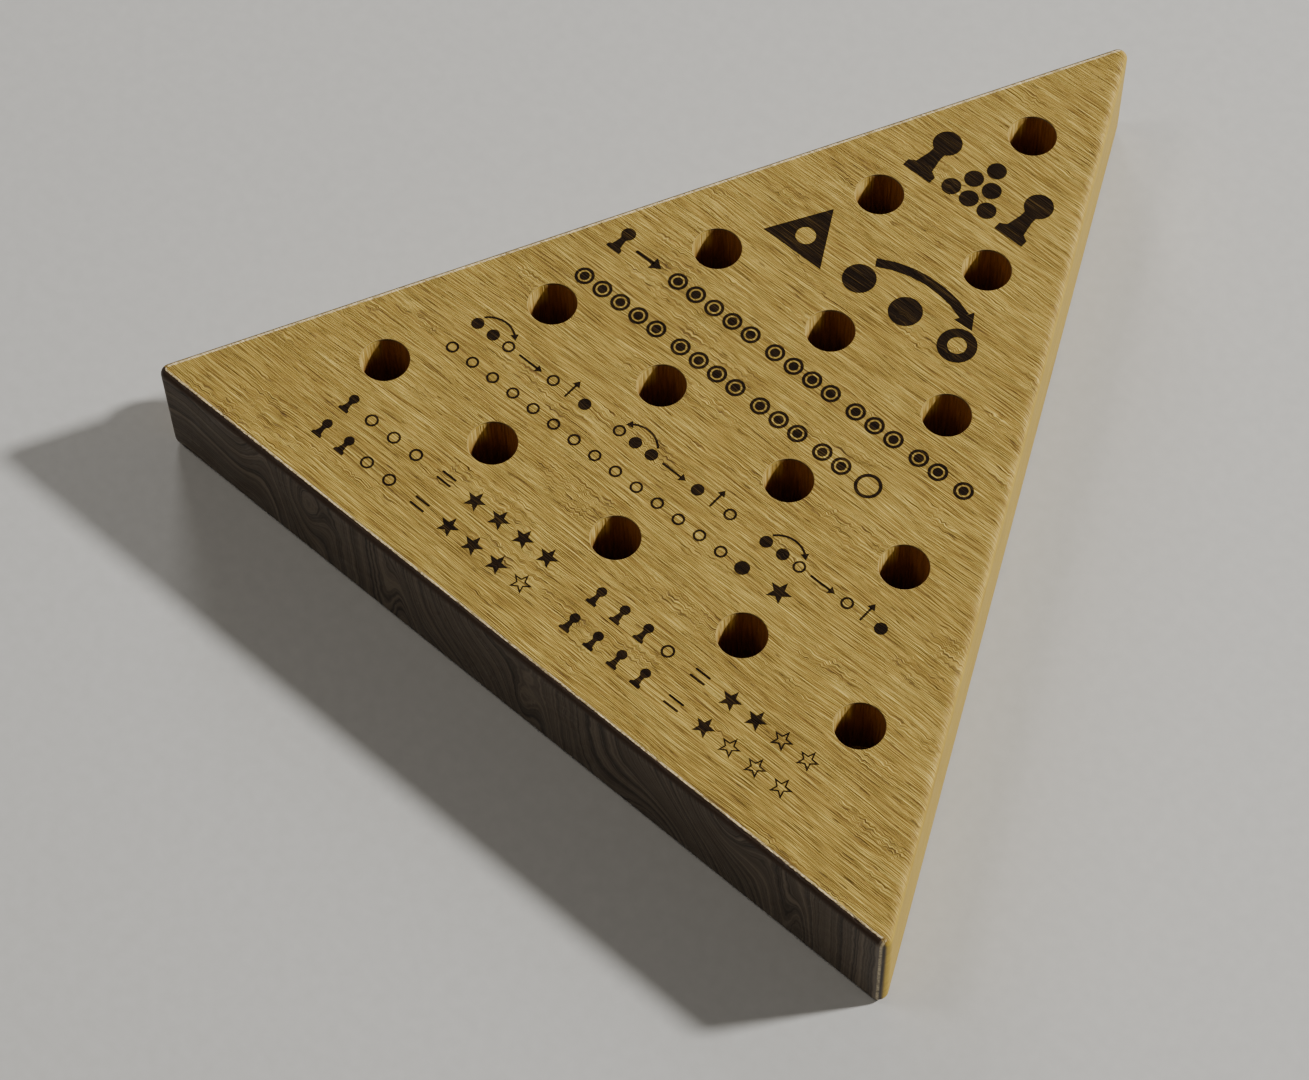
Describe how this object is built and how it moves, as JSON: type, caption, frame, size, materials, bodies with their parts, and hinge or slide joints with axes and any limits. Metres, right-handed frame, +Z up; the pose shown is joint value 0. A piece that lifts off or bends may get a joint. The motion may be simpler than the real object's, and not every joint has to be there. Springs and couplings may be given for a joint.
{
  "type": "triangle peg jump game",
  "caption": "Triangular hardwood peg jump game board with five rows of blind peg holes, a plugged peg store bored along its front margin, and loose dowel pegs.",
  "frame": {"origin": "centre of the board's bounding box, on its underside", "axes": "+Z up through the playing face, +X along the front edge, +Y from the front edge to the apex"},
  "size_m": [0.1348, 0.1348, 0.0191],
  "materials": {
    "board_wood": "oiled oak with raised grain, dark end grain on the front side",
    "stopper_wood": "oiled walnut",
    "peg_wood": "plain birch dowel"
  },
  "bodies": {
    "board": {"board": "board_wood"},
    "stopper": {"stopper": "stopper_wood"},
    "peg_01": {"peg_01": "peg_wood"},
    "peg_02": {"peg_02": "peg_wood"},
    "peg_03": {"peg_03": "peg_wood"},
    "peg_04": {"peg_04": "peg_wood"},
    "peg_05": {"peg_05": "peg_wood"},
    "peg_06": {"peg_06": "peg_wood"},
    "peg_07": {"peg_07": "peg_wood"},
    "peg_08": {"peg_08": "peg_wood"},
    "peg_09": {"peg_09": "peg_wood"},
    "peg_10": {"peg_10": "peg_wood"},
    "peg_11": {"peg_11": "peg_wood"},
    "peg_12": {"peg_12": "peg_wood"},
    "peg_13": {"peg_13": "peg_wood"},
    "peg_14": {"peg_14": "peg_wood"}
  },
  "joints": [
    {"name": "stopper_pull", "type": "slide", "parent": "board", "child": "stopper", "axis": [-1, 0, 0], "range_m": [0, 0.215]},
    {"name": "peg_01_slide", "type": "slide", "parent": "board", "child": "peg_01", "axis": [-1, 0, 0], "range_m": [0, 0.215]},
    {"name": "peg_02_slide", "type": "slide", "parent": "board", "child": "peg_02", "axis": [-1, 0, 0], "range_m": [0, 0.215]},
    {"name": "peg_03_slide", "type": "slide", "parent": "board", "child": "peg_03", "axis": [-1, 0, 0], "range_m": [0, 0.215]},
    {"name": "peg_04_slide", "type": "slide", "parent": "board", "child": "peg_04", "axis": [-1, 0, 0], "range_m": [0, 0.215]},
    {"name": "peg_05_slide", "type": "slide", "parent": "board", "child": "peg_05", "axis": [-1, 0, 0], "range_m": [0, 0.215]},
    {"name": "peg_06_slide", "type": "slide", "parent": "board", "child": "peg_06", "axis": [-1, 0, 0], "range_m": [0, 0.215]},
    {"name": "peg_07_slide", "type": "slide", "parent": "board", "child": "peg_07", "axis": [-1, 0, 0], "range_m": [0, 0.215]},
    {"name": "peg_08_slide", "type": "slide", "parent": "board", "child": "peg_08", "axis": [-1, 0, 0], "range_m": [0, 0.215]},
    {"name": "peg_09_slide", "type": "slide", "parent": "board", "child": "peg_09", "axis": [-1, 0, 0], "range_m": [0, 0.215]},
    {"name": "peg_10_slide", "type": "slide", "parent": "board", "child": "peg_10", "axis": [-1, 0, 0], "range_m": [0, 0.215]},
    {"name": "peg_11_slide", "type": "slide", "parent": "board", "child": "peg_11", "axis": [-1, 0, 0], "range_m": [0, 0.215]},
    {"name": "peg_12_slide", "type": "slide", "parent": "board", "child": "peg_12", "axis": [-1, 0, 0], "range_m": [0, 0.215]},
    {"name": "peg_13_slide", "type": "slide", "parent": "board", "child": "peg_13", "axis": [-1, 0, 0], "range_m": [0, 0.215]},
    {"name": "peg_14_slide", "type": "slide", "parent": "board", "child": "peg_14", "axis": [-1, 0, 0], "range_m": [0, 0.215]}
  ],
  "couplings": [
    {"joint": "peg_01_slide", "follows": "stopper_pull", "ratio": 0.58},
    {"joint": "peg_02_slide", "follows": "stopper_pull", "ratio": 0.58},
    {"joint": "peg_03_slide", "follows": "stopper_pull", "ratio": 0.664},
    {"joint": "peg_04_slide", "follows": "stopper_pull", "ratio": 0.664},
    {"joint": "peg_05_slide", "follows": "stopper_pull", "ratio": 0.664},
    {"joint": "peg_06_slide", "follows": "stopper_pull", "ratio": 0.748},
    {"joint": "peg_07_slide", "follows": "stopper_pull", "ratio": 0.748},
    {"joint": "peg_08_slide", "follows": "stopper_pull", "ratio": 0.748},
    {"joint": "peg_09_slide", "follows": "stopper_pull", "ratio": 0.832},
    {"joint": "peg_10_slide", "follows": "stopper_pull", "ratio": 0.832},
    {"joint": "peg_11_slide", "follows": "stopper_pull", "ratio": 0.832},
    {"joint": "peg_12_slide", "follows": "stopper_pull", "ratio": 0.916},
    {"joint": "peg_13_slide", "follows": "stopper_pull", "ratio": 0.916},
    {"joint": "peg_14_slide", "follows": "stopper_pull", "ratio": 0.916}
  ]
}
